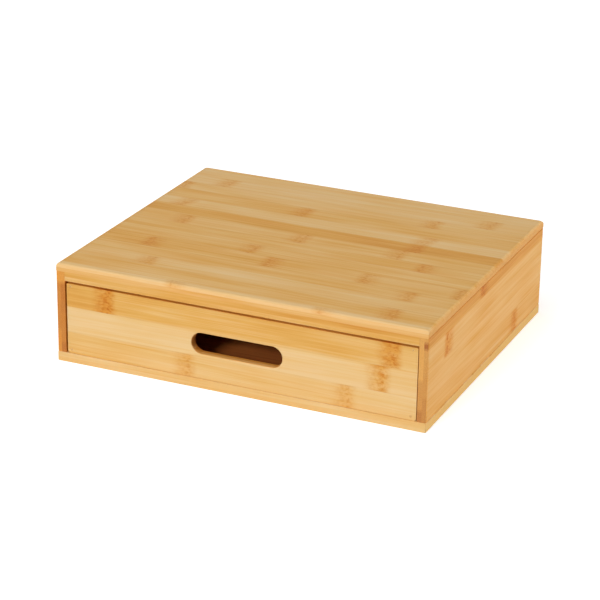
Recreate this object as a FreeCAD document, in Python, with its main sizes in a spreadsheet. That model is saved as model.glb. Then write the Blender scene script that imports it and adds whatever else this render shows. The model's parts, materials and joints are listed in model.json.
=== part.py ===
import FreeCAD, Part
import math
import os
import Sketcher

# A low bamboo caddy: a flat case of glued boards with one drawer across its front.
# The frame stands on the counter: +X to the right, +Y to the back, +Z up, with the
# origin at the centre of the underside. Lengths are in millimetres.

Vector = FreeCAD.Vector
document = FreeCAD.newDocument("UtensilCaddy")
sheet = document.addObject("Spreadsheet::Sheet", "Sizes")

drivingSizes = [
    # the case
    ("caddyWidth", "310", "left to right, over the top board"),
    ("caddyDepth", "262", "front to back, over the top board"),
    ("caddyHeight", "82", "counter to the top face"),
    ("topBoardThickness", "6.5", "top board"),
    ("bottomBoardThickness", "8", "bottom board"),
    ("sidePanelThickness", "7.3", "side panels"),
    ("backPanelThickness", "7", "back panel"),
    ("railThickness", "7", "height of the rail over the drawer"),
    ("railDepth", "22", "front to back of the rail"),
    ("panelSetback", "0.4", "upright panels behind the edges of the top and bottom boards"),
    # edges
    ("topEdgeRound", "3", "round-over of the top face"),
    ("cornerRound", "1.2", "upright corners of the case"),
    ("baseEdgeRound", "0.8", "lower edge of the bottom board"),
    ("sandedEdge", "0.4", "edges broken with sandpaper"),
    # the drawer
    ("drawerSideClearance", "1.3", "drawer to side panel, each side"),
    ("drawerTopClearance", "1.4", "drawer to rail"),
    ("drawerRunClearance", "0.3", "drawer to bottom board"),
    ("drawerBackClearance", "0.5", "drawer to back panel when shut"),
    ("drawerRecess", "0.8", "drawer front behind the edge of the top board"),
    ("drawerFrontThickness", "7.5", "drawer front"),
    ("drawerWallThickness", "7", "sides and back of the drawer"),
    ("frontFootRound", "2.5", "lower corners of the drawer front"),
    ("frontHeadRound", "0.9", "upper corners of the drawer front"),
    ("frontEdgeRound", "0.8", "outer edges of the drawer front"),
    ("slotLength", "76", "finger slot, left to right"),
    ("slotHeight", "17.2", "finger slot, up and down"),
    ("slotDrop", "0.6", "middle of the finger slot below the middle of the drawer front"),
    ("slotEdgeRound", "0.9", "edges of the finger slot"),
    ("floorThickness", "3", "loose panel that is the floor of the drawer"),
    ("floorLift", "5", "underside of the floor above the foot of the drawer"),
    ("grooveDepth", "3", "groove that holds the floor"),
    ("grooveClearance", "0.3", "floor panel in its groove"),
    # dowels of the case
    ("dowelDiameter", "4", "wooden dowel"),
    ("dowelChamfer", "0.4", "broken ends of a dowel"),
    ("dowelEdgeDepth", "10", "dowel hole in the edge of a board"),
    ("dowelCover", "2.2", "wood left under a dowel hole in the face of a board"),
    ("dowelGlueGap", "0.05", "glue around a dowel"),
    ("dowelEndGap", "0.3", "glue under the end of a dowel"),
    ("dowelCount", "3", "dowels along one side panel"),
    ("dowelInset", "40", "first dowel from the front or the back of the case"),
    ("backDowelInset", "14", "back panel dowel from the top or the foot of the panel"),
    # brads of the drawer
    ("bradDiameter", "1.2", "shank of a brad"),
    ("bradLength", "20", "brad from head to point"),
    ("bradPoint", "1.5", "length of its point"),
    ("bradHeadDiameter", "2", "head of a brad"),
    ("bradHeadHeight", "0.6", "head of a brad"),
    ("bradSink", "0.2", "head below the wood"),
    ("bradHoleGap", "0.05", "wood around a brad"),
    ("bradInset", "3", "brad from the top or the foot of the drawer"),
]
for row, (alias, number, meaning) in enumerate(drivingSizes, start=1):
    sheet.set("A%d" % row, alias)
    sheet.set("B%d" % row, number)
    sheet.set("C%d" % row, meaning)
    sheet.setAlias("B%d" % row, alias)
document.recompute()

# Lengths that follow from the driving sizes, as expressions on the sheet's cells.
boardDepthHalf = "(Sizes.caddyDepth / 2)"
panelHeight = "(Sizes.caddyHeight - Sizes.topBoardThickness - Sizes.bottomBoardThickness)"
panelLength = "(Sizes.caddyDepth - 2 * Sizes.panelSetback)"
panelMiddle = "(Sizes.caddyWidth / 2 - Sizes.panelSetback - Sizes.sidePanelThickness / 2)"
caseInnerWidth = "(Sizes.caddyWidth - 2 * (Sizes.panelSetback + Sizes.sidePanelThickness))"
topBoardFoot = "(Sizes.caddyHeight - Sizes.topBoardThickness)"
railFoot = "(%s - Sizes.railThickness)" % topBoardFoot
railMiddle = "(Sizes.panelSetback + Sizes.railDepth / 2 - %s)" % boardDepthHalf
backMiddle = "(%s - Sizes.panelSetback - Sizes.backPanelThickness / 2)" % boardDepthHalf

drawerWidth = "(%s - 2 * Sizes.drawerSideClearance)" % caseInnerWidth
drawerFoot = "(Sizes.bottomBoardThickness + Sizes.drawerRunClearance)"
drawerHeight = "(%s - Sizes.drawerTopClearance - %s)" % (railFoot, drawerFoot)
frontInnerFace = "(Sizes.drawerRecess + Sizes.drawerFrontThickness - %s)" % boardDepthHalf
backInnerFace = ("(%s - Sizes.backPanelThickness / 2 - Sizes.drawerBackClearance"
                 " - Sizes.drawerWallThickness)" % backMiddle)
drawerSideLength = "(%s - %s)" % (backInnerFace, frontInnerFace)
drawerSideMiddle = "(%s / 2 - Sizes.drawerWallThickness / 2)" % drawerWidth
drawerInnerWidth = "(%s - 2 * Sizes.drawerWallThickness)" % drawerWidth
floorReach = "(Sizes.grooveDepth - Sizes.grooveClearance)"
grooveHeight = "(Sizes.floorThickness + Sizes.grooveClearance)"
grooveWidth = "(%s + 2 * Sizes.grooveDepth)" % drawerInnerWidth

dowelHole = "(Sizes.dowelDiameter + 2 * Sizes.dowelGlueGap)"
topHoleDepth = "(Sizes.topBoardThickness - Sizes.dowelCover)"
bottomHoleDepth = "(Sizes.bottomBoardThickness - Sizes.dowelCover)"
sideHoleDepth = "(Sizes.sidePanelThickness - Sizes.dowelCover)"
firstDowel = "(%s - Sizes.dowelInset)" % boardDepthHalf
dowelSpan = "(Sizes.caddyDepth - 2 * Sizes.dowelInset)"
backDowelSpan = "(%s - 2 * Sizes.backDowelInset)" % panelHeight
bradHole = "(Sizes.bradDiameter + 2 * Sizes.bradHoleGap)"
bradHeadHole = "(Sizes.bradHeadDiameter + 2 * Sizes.bradHoleGap)"
bradHeadDepth = "(Sizes.bradHeadHeight + Sizes.bradSink)"
bradSpan = "(%s - 2 * Sizes.bradInset)" % drawerHeight

bodies = []
tolerance = 0.001  # how near a point lies to the plane it is on
faceSides = {
    "left": ("x", min),
    "right": ("x", max),
    "front": ("y", min),
    "back": ("y", max),
    "foot": ("z", min),
    "head": ("z", max),
}


def newBody(label, x="0", y="0", z="0"):
    body = document.addObject("PartDesign::Body", label)
    body.Label = label
    body.setExpression("Placement.Base.x", x)
    body.setExpression("Placement.Base.y", y)
    body.setExpression("Placement.Base.z", z)
    bodies.append(body)
    return body


def originFeature(body, role):
    return next(item for item in body.Origin.OriginFeatures if item.Role == role)


def newSketch(body, name, role, lift="0"):
    # lift moves the sketch along its plane's normal: +Z on XY, -Y on XZ, +X on YZ
    sketch = body.newObject("Sketcher::SketchObject", body.Label + "_" + name)
    sketch.AttachmentSupport = [(originFeature(body, role), "")]
    sketch.MapMode = "FlatFace"
    sketch.setExpression("AttachmentOffset.Base.z", lift)
    return sketch


def dimension(sketch, name, constraint, expression):
    index = sketch.addConstraint(constraint)
    sketch.renameConstraint(index, name)
    sketch.setExpression("Constraints." + name, expression)


# The numbers that a sketch is first drawn with are only a start: its dimensions size it.


def closeLoop(sketch, points):
    # straight lines from point to point, joined at their ends
    count = len(points)
    for index in range(count):
        start = Vector(*points[index], 0)
        end = Vector(*points[(index + 1) % count], 0)
        sketch.addGeometry(Part.LineSegment(start, end))
    for index in range(count):
        sketch.addConstraint(Sketcher.Constraint("Coincident", index, 2, (index + 1) % count, 1))


def drawRectangle(sketch, width, height, low):
    # centred across the sketch, with its lower edge at low
    closeLoop(sketch, [(-20, -10), (20, -10), (20, 10), (-20, 10)])
    for index in (0, 2):
        sketch.addConstraint(Sketcher.Constraint("Horizontal", index))
    for index in (1, 3):
        sketch.addConstraint(Sketcher.Constraint("Vertical", index))
    dimension(sketch, "width", Sketcher.Constraint("DistanceX", 0, 1, 0, 2, 40.0), width)
    dimension(sketch, "left", Sketcher.Constraint("DistanceX", -1, 1, 0, 1, -20.0), "-%s / 2" % width)
    dimension(sketch, "height", Sketcher.Constraint("DistanceY", 1, 1, 1, 2, 20.0), height)
    dimension(sketch, "low", Sketcher.Constraint("DistanceY", -1, 1, 0, 1, -10.0), low)


def drawCircle(sketch, diameter, across, up):
    circle = sketch.addGeometry(Part.Circle(Vector(1, 1, 0), Vector(0, 0, 1), 1))
    dimension(sketch, "diameter", Sketcher.Constraint("Diameter", circle, 2.0), diameter)
    dimension(sketch, "across", Sketcher.Constraint("DistanceX", -1, 1, circle, 3, 1.0), across)
    dimension(sketch, "up", Sketcher.Constraint("DistanceY", -1, 1, circle, 3, 1.0), up)


def drawStadium(sketch, length, height, middle):
    # two straight sides between two half circles, centred across the sketch
    up = Vector(0, 0, 1)
    quarter = math.pi / 2
    sketch.addGeometry(Part.LineSegment(Vector(-20, 10, 0), Vector(20, 10, 0)))
    sketch.addGeometry(Part.ArcOfCircle(Part.Circle(Vector(20, 0, 0), up, 10), -quarter, quarter))
    sketch.addGeometry(Part.LineSegment(Vector(-20, -10, 0), Vector(20, -10, 0)))
    sketch.addGeometry(Part.ArcOfCircle(Part.Circle(Vector(-20, 0, 0), up, 10), quarter, 3 * quarter))
    for line, lineEnd, arc, arcEnd in ((0, 2, 1, 2), (2, 2, 1, 1), (0, 1, 3, 1), (2, 1, 3, 2)):
        sketch.addConstraint(Sketcher.Constraint("Tangent", line, lineEnd, arc, arcEnd))
    sketch.addConstraint(Sketcher.Constraint("Equal", 1, 3))
    sketch.addConstraint(Sketcher.Constraint("Horizontal", 0))
    between = "(%s - %s)" % (length, height)
    dimension(sketch, "between", Sketcher.Constraint("DistanceX", 3, 3, 1, 3, 40.0), between)
    dimension(sketch, "left", Sketcher.Constraint("DistanceX", -1, 1, 3, 3, -20.0), "-%s / 2" % between)
    dimension(sketch, "middle", Sketcher.Constraint("DistanceY", -1, 1, 3, 3, 0.0), middle)
    dimension(sketch, "radius", Sketcher.Constraint("Radius", 1, 10.0), "%s / 2" % height)


def pad(body, sketch, length, reverse=False):
    feature = body.newObject("PartDesign::Pad", body.Label + "_pad")
    feature.Profile = sketch
    feature.setExpression("Length", length)
    feature.Reversed = reverse
    document.recompute()
    return feature


def pocket(body, name, sketch, depth, reverse=False):
    # cuts against the normal of the sketch's plane, or along it when reversed
    feature = body.newObject("PartDesign::Pocket", body.Label + "_" + name)
    feature.Profile = sketch
    feature.setExpression("Length", depth)
    feature.Reversed = reverse
    document.recompute()
    return feature


def edgesOn(feature, *sides):
    # the edges whose ends lie on every named side of the piece
    corners = [vertex.Point for vertex in feature.Shape.Vertexes]
    planes = []
    for side in sides:
        axis, furthest = faceSides[side]
        planes.append((axis, furthest(getattr(vertex, axis) for vertex in corners)))
    names = []
    for index, edge in enumerate(feature.Shape.Edges, start=1):
        ends = [vertex.Point for vertex in edge.Vertexes]
        if all(abs(getattr(point, axis) - level) < tolerance for point in ends for axis, level in planes):
            names.append("Edge%d" % index)
    return names


def roundEdges(body, name, edges, radius):
    feature = body.newObject("PartDesign::Fillet", body.Label + "_" + name)
    feature.Base = (feature.BaseFeature, edges)
    feature.setExpression("Radius", radius)
    document.recompute()
    return feature


def repeat(body, feature, first, second=None):
    # a row of a feature, or a grid when a second (axis, span, count) is given
    pattern = body.newObject("PartDesign::LinearPattern", feature.Name + "_row")
    pattern.Originals = [feature]
    pattern.Direction = (originFeature(body, first[0]), [""])
    pattern.setExpression("Length", first[1])
    pattern.setExpression("Occurrences", first[2])
    if second:
        pattern.Direction2 = (originFeature(body, second[0]), [""])
        pattern.setExpression("Length2", second[1])
        pattern.setExpression("Occurrences2", second[2])
    body.Tip = pattern
    document.recompute()
    return pattern


def board(label, width, depth, height, low, x="0", y="0", z="0"):
    # a plain board: centred left to right, from y = low to the back, from z = 0 up
    body = newBody(label, x, y, z)
    outline = newSketch(body, "outline", "XY_Plane")
    drawRectangle(outline, width, depth, low)
    pad(body, outline, height)
    return body


def roundUprights(body, *sides):
    corners = []
    for side in sides:
        for end in ("front", "back"):
            corners += edgesOn(body.Tip, side, end)
    roundEdges(body, "corners", corners, "Sizes.cornerRound")


def makeTopBoard():
    body = board("top_board", "Sizes.caddyWidth", "Sizes.caddyDepth", "Sizes.topBoardThickness",
                 "-" + boardDepthHalf, z=topBoardFoot)
    roundEdges(body, "round_over", edgesOn(body.Tip, "head"), "Sizes.topEdgeRound")
    roundUprights(body, "left", "right")
    sketch = newSketch(body, "dowel_hole_sketch", "XY_Plane")
    drawCircle(sketch, dowelHole, "-" + panelMiddle, "-" + firstDowel)
    hole = pocket(body, "dowel_hole", sketch, topHoleDepth, reverse=True)
    repeat(body, hole, ("X_Axis", "2 * " + panelMiddle, "2"), ("Y_Axis", dowelSpan, "Sizes.dowelCount"))


def makeBottomBoard():
    body = board("bottom_board", "Sizes.caddyWidth", "Sizes.caddyDepth", "Sizes.bottomBoardThickness",
                 "-" + boardDepthHalf)
    roundUprights(body, "left", "right")
    roundEdges(body, "base_round", edgesOn(body.Tip, "foot"), "Sizes.baseEdgeRound")
    roundEdges(body, "head_round", edgesOn(body.Tip, "head"), "Sizes.sandedEdge")
    sketch = newSketch(body, "dowel_hole_sketch", "XY_Plane", "Sizes.bottomBoardThickness")
    drawCircle(sketch, dowelHole, "-" + panelMiddle, "-" + firstDowel)
    hole = pocket(body, "dowel_hole", sketch, bottomHoleDepth)
    repeat(body, hole, ("X_Axis", "2 * " + panelMiddle, "2"), ("Y_Axis", dowelSpan, "Sizes.dowelCount"))


def makeSidePanel(label, isRight):
    outer, inner = ("right", "left") if isRight else ("left", "right")
    x = panelMiddle if isRight else "-" + panelMiddle
    body = board(label, "Sizes.sidePanelThickness", panelLength, panelHeight, "-%s / 2" % panelLength,
                 x=x, z="Sizes.bottomBoardThickness")
    roundUprights(body, outer)
    roundEdges(body, "inner_edge", edgesOn(body.Tip, inner, "front"), "Sizes.sandedEdge")

    for name, lift in (("foot_dowel", "0"), ("head_dowel", panelHeight)):
        sketch = newSketch(body, name + "_sketch", "XY_Plane", lift)
        drawCircle(sketch, dowelHole, "0", "-" + firstDowel)
        hole = pocket(body, name, sketch, "Sizes.dowelEdgeDepth", reverse=(lift == "0"))
        repeat(body, hole, ("Y_Axis", dowelSpan, "Sizes.dowelCount"))

    innerFace = "-Sizes.sidePanelThickness / 2" if isRight else "Sizes.sidePanelThickness / 2"
    sketch = newSketch(body, "back_dowel_sketch", "YZ_Plane", innerFace)
    drawCircle(sketch, dowelHole, backMiddle, "Sizes.backDowelInset")
    hole = pocket(body, "back_dowel", sketch, sideHoleDepth, reverse=isRight)
    repeat(body, hole, ("Z_Axis", backDowelSpan, "2"))
    sketch = newSketch(body, "rail_dowel_sketch", "YZ_Plane", innerFace)
    drawCircle(sketch, dowelHole, railMiddle, panelHeight + " - Sizes.railThickness / 2")
    pocket(body, "rail_dowel", sketch, sideHoleDepth, reverse=isRight)


def makeCrossPiece(label, depth, height, y, z, dowelHeight, dowelRow=None):
    # a board from side panel to side panel, with dowel holes in both ends
    body = board(label, caseInnerWidth, depth, height, "-%s / 2" % depth, y=y, z=z)
    for name, sign in (("left_dowel", "-"), ("right_dowel", "")):
        sketch = newSketch(body, name + "_sketch", "YZ_Plane", sign + caseInnerWidth + " / 2")
        drawCircle(sketch, dowelHole, "0", dowelHeight)
        hole = pocket(body, name, sketch, "Sizes.dowelEdgeDepth", reverse=(sign == "-"))
        if dowelRow:
            repeat(body, hole, dowelRow)
    return body


def makeBackPanel():
    makeCrossPiece("back_panel", "Sizes.backPanelThickness", panelHeight, backMiddle,
                   "Sizes.bottomBoardThickness", "Sizes.backDowelInset", ("Z_Axis", backDowelSpan, "2"))


def makeFrontRail():
    body = makeCrossPiece("front_rail", "Sizes.railDepth", "Sizes.railThickness", railMiddle,
                          railFoot, "Sizes.railThickness / 2")
    roundEdges(body, "lower_edge", edgesOn(body.Tip, "front", "foot"), "Sizes.sandedEdge")


def turnedPiece(body, name, points):
    # a round solid about the body's Z axis, from (radius, height) expressions
    sketch = newSketch(body, name + "_profile", "XZ_Plane")
    count = len(points)
    guesses = [(0 if radius == "0" else 2, 3 * index) for index, (radius, height) in enumerate(points)]
    closeLoop(sketch, guesses)
    for index, (radius, height) in enumerate(points):
        reach = Sketcher.Constraint("DistanceX", -1, 1, index, 1, float(guesses[index][0]))
        rise = Sketcher.Constraint("DistanceY", -1, 1, index, 1, float(guesses[index][1]))
        dimension(sketch, "radius%d" % index, reach, radius)
        dimension(sketch, "height%d" % index, rise, height)
    feature = body.newObject("PartDesign::Revolution", body.Label + "_" + name)
    feature.Profile = sketch
    feature.ReferenceAxis = (sketch, ["V_Axis"])
    document.recompute()
    return feature


def makeDowels(label, faceDepth, x, y, z, first, second, lyingDown=False):
    # one dowel reaches faceDepth into a board's face and dowelEdgeDepth into a board's edge
    body = newBody(label, x, y, z)
    length = "(%s + Sizes.dowelEdgeDepth - 2 * Sizes.dowelEndGap)" % faceDepth
    radius = "Sizes.dowelDiameter / 2"
    narrow = radius + " - Sizes.dowelChamfer"
    dowel = turnedPiece(body, "dowel", [
        ("0", "0"),
        (narrow, "0"),
        (radius, "Sizes.dowelChamfer"),
        (radius, length + " - Sizes.dowelChamfer"),
        (narrow, length),
        ("0", length),
    ])
    repeat(body, dowel, first, second)
    if lyingDown:
        body.Placement.Rotation = FreeCAD.Rotation(Vector(0, 1, 0), 90)
        document.recompute()


def makeCaseDowels():
    acrossPanels = ("X_Axis", "2 * " + panelMiddle, "2")
    alongPanel = ("Y_Axis", dowelSpan, "Sizes.dowelCount")
    makeDowels("top_dowels", topHoleDepth, "-" + panelMiddle, "-" + firstDowel,
               topBoardFoot + " - Sizes.dowelEdgeDepth + Sizes.dowelEndGap", acrossPanels, alongPanel)
    makeDowels("bottom_dowels", bottomHoleDepth, "-" + panelMiddle, "-" + firstDowel,
               "Sizes.dowelCover + Sizes.dowelEndGap", acrossPanels, alongPanel)

    # dowels that lie along X: the body's own Z points to the right, its X points down
    leftEnd = "Sizes.dowelEndGap - %s / 2 - %s" % (caseInnerWidth, sideHoleDepth)
    betweenEnds = ("Z_Axis", "%s + %s - Sizes.dowelEdgeDepth" % (caseInnerWidth, sideHoleDepth), "2")
    makeDowels("back_dowels", sideHoleDepth, leftEnd, backMiddle,
               topBoardFoot + " - Sizes.backDowelInset", betweenEnds, ("X_Axis", backDowelSpan, "2"),
               lyingDown=True)
    makeDowels("rail_dowels", sideHoleDepth, leftEnd, railMiddle,
               topBoardFoot + " - Sizes.railThickness / 2", betweenEnds, None, lyingDown=True)


def makeDrawerEnd(label, thickness, y, isFront):
    # an end board of the drawer: its inner face is the plane y = 0 of its own body
    body = newBody(label, y=y, z=drawerFoot)
    outline = newSketch(body, "outline", "XZ_Plane")
    drawRectangle(outline, drawerWidth, drawerHeight, "0")
    pad(body, outline, thickness, reverse=not isFront)
    if isFront:
        roundFrontCorners(body)
        cutFingerSlot(body)
    else:
        roundEdges(body, "head_edges", edgesOn(body.Tip, "head", "back"), "Sizes.sandedEdge")

    groove = newSketch(body, "groove_sketch", "XZ_Plane")
    drawRectangle(groove, grooveWidth, grooveHeight, "Sizes.floorLift")
    pocket(body, "groove", groove, "Sizes.grooveDepth", reverse=isFront)

    outerFace = thickness if isFront else "-" + thickness
    sketch = newSketch(body, "brad_sketch", "XZ_Plane", outerFace)
    drawCircle(sketch, bradHole, "-" + drawerSideMiddle, "Sizes.bradInset")
    document.recompute()
    hole = body.newObject("PartDesign::Hole", label + "_brad_hole")
    hole.Profile = sketch
    hole.Reversed = not isFront
    hole.DepthType = "ThroughAll"
    hole.HoleCutType = "Counterbore"
    hole.HoleCutCustomValues = True
    hole.setExpression("Diameter", bradHole)
    hole.setExpression("HoleCutDiameter", bradHeadHole)
    hole.setExpression("HoleCutDepth", bradHeadDepth)
    document.recompute()
    repeat(body, hole, ("X_Axis", "2 * " + drawerSideMiddle, "2"), ("Z_Axis", bradSpan, "2"))


def roundFrontCorners(body):
    footCorners = edgesOn(body.Tip, "foot", "left") + edgesOn(body.Tip, "foot", "right")
    roundEdges(body, "foot_corners", footCorners, "Sizes.frontFootRound")
    headCorners = edgesOn(body.Tip, "head", "left") + edgesOn(body.Tip, "head", "right")
    roundEdges(body, "head_corners", headCorners, "Sizes.frontHeadRound")
    roundEdges(body, "front_edges", edgesOn(body.Tip, "front"), "Sizes.frontEdgeRound")


def cutFingerSlot(body):
    sketch = newSketch(body, "slot_sketch", "XZ_Plane")
    drawStadium(sketch, "Sizes.slotLength", "Sizes.slotHeight", drawerHeight + " / 2 - Sizes.slotDrop")
    pocket(body, "slot", sketch, "Sizes.drawerFrontThickness", reverse=True)
    slotEdges = []
    for side in ("front", "back"):
        for name in edgesOn(body.Tip, side):
            edge = body.Tip.Shape.Edges[int(name[4:]) - 1]
            if all(abs(vertex.Point.x) < sheet.slotLength / 2 for vertex in edge.Vertexes):
                slotEdges.append(name)
    roundEdges(body, "slot_edges", slotEdges, "Sizes.slotEdgeRound")


def makeDrawerSide(label, isRight):
    # its front end is the plane y = 0 of its own body
    x = drawerSideMiddle if isRight else "-" + drawerSideMiddle
    body = board(label, "Sizes.drawerWallThickness", drawerSideLength, drawerHeight, "0",
                 x=x, y=frontInnerFace, z=drawerFoot)
    headEdges = edgesOn(body.Tip, "head", "left") + edgesOn(body.Tip, "head", "right")
    roundEdges(body, "head_edges", headEdges, "Sizes.sandedEdge")

    innerFace = "-Sizes.drawerWallThickness / 2" if isRight else "Sizes.drawerWallThickness / 2"
    groove = newSketch(body, "groove_sketch", "YZ_Plane", innerFace)
    drawRectangle(groove, "(2 * %s)" % drawerSideLength, grooveHeight, "Sizes.floorLift")
    pocket(body, "groove", groove, "Sizes.grooveDepth", reverse=isRight)

    ends = (("front_brad", "0", "Sizes.drawerFrontThickness", False),
            ("back_brad", "-" + drawerSideLength, "Sizes.drawerWallThickness", True))
    for name, lift, crossed, reverse in ends:
        sketch = newSketch(body, name + "_sketch", "XZ_Plane", lift)
        drawCircle(sketch, bradHole, "0", "Sizes.bradInset")
        depth = "Sizes.bradLength + Sizes.bradSink + Sizes.bradHoleGap - " + crossed
        hole = pocket(body, name, sketch, depth, reverse=reverse)
        repeat(body, hole, ("Z_Axis", bradSpan, "2"))


def makeDrawerFloor():
    depth = "(%s + 2 * %s)" % (drawerSideLength, floorReach)
    board("drawer_floor", "(%s + 2 * %s)" % (drawerInnerWidth, floorReach), depth,
          "Sizes.floorThickness", "-" + floorReach, y=frontInnerFace,
          z=drawerFoot + " + Sizes.floorLift")


def makeBrads(label, point, z, angle):
    # the body's own Z runs from the point of a brad to its head
    body = newBody(label, "-" + drawerSideMiddle, point, z)
    shank = "Sizes.bradDiameter / 2"
    head = "Sizes.bradHeadDiameter / 2"
    headFoot = "Sizes.bradLength - Sizes.bradHeadHeight"
    brad = turnedPiece(body, "brad", [
        ("0", "0"),
        (shank, "Sizes.bradPoint"),
        (shank, headFoot),
        (head, headFoot),
        (head, "Sizes.bradLength"),
        ("0", "Sizes.bradLength"),
    ])
    repeat(body, brad, ("X_Axis", "2 * " + drawerSideMiddle, "2"), ("Y_Axis", bradSpan, "2"))
    body.Placement.Rotation = FreeCAD.Rotation(Vector(1, 0, 0), angle)
    document.recompute()


def makeDrawerBrads():
    sunkLength = "(Sizes.bradSink + Sizes.bradLength)"
    makeBrads("drawer_front_brads", "%s - Sizes.drawerFrontThickness + %s" % (frontInnerFace, sunkLength),
              drawerFoot + " + Sizes.bradInset", 90)
    makeBrads("drawer_back_brads", "%s + Sizes.drawerWallThickness - %s" % (backInnerFace, sunkLength),
              "%s + %s - Sizes.bradInset" % (drawerFoot, drawerHeight), -90)


def checkDocument():
    cuts = ("PartDesign::Pocket", "PartDesign::Hole")
    for item in document.Objects:
        if "Invalid" in item.State or "Error" in item.State:
            raise RuntimeError("%s did not recompute: %s" % (item.Name, item.State))
        if item.TypeId in cuts and item.Shape.Volume > item.BaseFeature.Shape.Volume - tolerance:
            raise RuntimeError("%s cuts nothing" % item.Name)
    for body in bodies:
        if body.Shape.isNull() or not body.Shape.isValid():
            raise RuntimeError("%s has no valid shape" % body.Label)


makeTopBoard()
makeBottomBoard()
makeSidePanel("left_side_panel", isRight=False)
makeSidePanel("right_side_panel", isRight=True)
makeBackPanel()
makeFrontRail()
makeCaseDowels()

makeDrawerEnd("drawer_front", "Sizes.drawerFrontThickness", frontInnerFace, isFront=True)
makeDrawerEnd("drawer_back", "Sizes.drawerWallThickness", backInnerFace, isFront=False)
makeDrawerSide("drawer_left_side", isRight=False)
makeDrawerSide("drawer_right_side", isRight=True)
makeDrawerFloor()
makeDrawerBrads()

document.recompute()
checkDocument()
os.makedirs("parts", exist_ok=True)
for body in bodies:
    box = body.Shape.optimalBoundingBox(False)
    print("%-20s %d solids  x %.2f %.2f  y %.2f %.2f  z %.2f %.2f  %.0f mm3" % (
        body.Label, len(body.Shape.Solids), box.XMin, box.XMax, box.YMin, box.YMax,
        box.ZMin, box.ZMax, body.Shape.Volume))
    body.Shape.exportStep(os.path.join("parts", body.Label + ".step"))
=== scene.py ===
import json
import math
import random

import bmesh
import bpy
from mathutils import Matrix, Quaternion, Vector


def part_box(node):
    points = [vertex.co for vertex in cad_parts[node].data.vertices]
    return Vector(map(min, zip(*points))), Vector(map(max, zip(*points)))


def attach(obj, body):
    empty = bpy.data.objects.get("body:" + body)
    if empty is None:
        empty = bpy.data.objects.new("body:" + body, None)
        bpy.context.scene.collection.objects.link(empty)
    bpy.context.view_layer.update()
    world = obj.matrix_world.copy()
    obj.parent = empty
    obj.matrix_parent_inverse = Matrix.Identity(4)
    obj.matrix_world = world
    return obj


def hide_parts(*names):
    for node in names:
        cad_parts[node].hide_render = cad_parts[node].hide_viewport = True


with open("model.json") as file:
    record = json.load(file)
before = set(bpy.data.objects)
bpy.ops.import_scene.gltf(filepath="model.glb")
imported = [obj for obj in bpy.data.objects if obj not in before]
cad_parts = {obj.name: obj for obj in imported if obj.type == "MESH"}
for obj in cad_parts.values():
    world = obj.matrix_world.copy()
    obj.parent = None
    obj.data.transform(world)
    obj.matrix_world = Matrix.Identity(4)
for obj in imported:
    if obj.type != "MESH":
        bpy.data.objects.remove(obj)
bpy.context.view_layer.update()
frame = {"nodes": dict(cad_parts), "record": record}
bodyOf = {node: body for body, nodes in frame["record"]["behaviour"]["bodies"].items()
          for node in nodes}
mm = 0.001
print("frame loaded, %d nodes" % len(frame["nodes"]))


cameraView = {
    "lens": 134.7,        # mm
    "sensor": 36.0,
    "distance": 1.7825,   # metres from the target
    "azimuth": 23.72,     # degrees to the right of the drawer's front
    "elevation": 21.95,
    "roll": -0.93,
    "target": (0.0055, -0.0246, 0.0410),
}


def outwardFrom(azimuth, elevation):
    # the direction from the caddy to something that stands round it
    turn, lift = math.radians(azimuth), math.radians(elevation)
    flat = math.cos(lift)
    return Vector((math.sin(turn) * flat, -math.cos(turn) * flat, math.sin(lift)))


def placeCamera(view):
    outward = outwardFrom(view["azimuth"], view["elevation"])
    aim = (-outward).to_track_quat("-Z", "Y") @ Quaternion((0, 0, 1), math.radians(-view["roll"]))
    data = bpy.data.cameras.new("camera")
    data.lens = view["lens"]
    data.sensor_width = view["sensor"]
    camera = bpy.data.objects.new("camera", data)
    camera.location = Vector(view["target"]) + outward * view["distance"]
    camera.rotation_euler = aim.to_euler()
    bpy.context.scene.collection.objects.link(camera)
    bpy.context.scene.camera = camera


placeCamera(cameraView)


def fromHex(text):
    # an sRGB hex value as linear red, green, blue and a full alpha
    values = [int(text[i:i + 2], 16) / 255 for i in (0, 2, 4)]
    return [v / 12.92 if v <= 0.04045 else ((v + 0.055) / 1.055) ** 2.4 for v in values] + [1.0]


def addNode(tree, kind, inputs=None, **settings):
    # one node with its settings; each input takes a value or the socket that feeds it
    node = tree.nodes.new(kind)
    for name, value in settings.items():
        setattr(node, name, value)
    for name, value in (inputs or {}).items():
        if isinstance(value, bpy.types.NodeSocket):
            tree.links.new(value, node.inputs[name])
        else:
            node.inputs[name].default_value = value
    return node


def newMaterial(name):
    material = bpy.data.materials.new(name)
    material.use_nodes = True
    material.node_tree.nodes.clear()
    return material, material.node_tree


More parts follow.
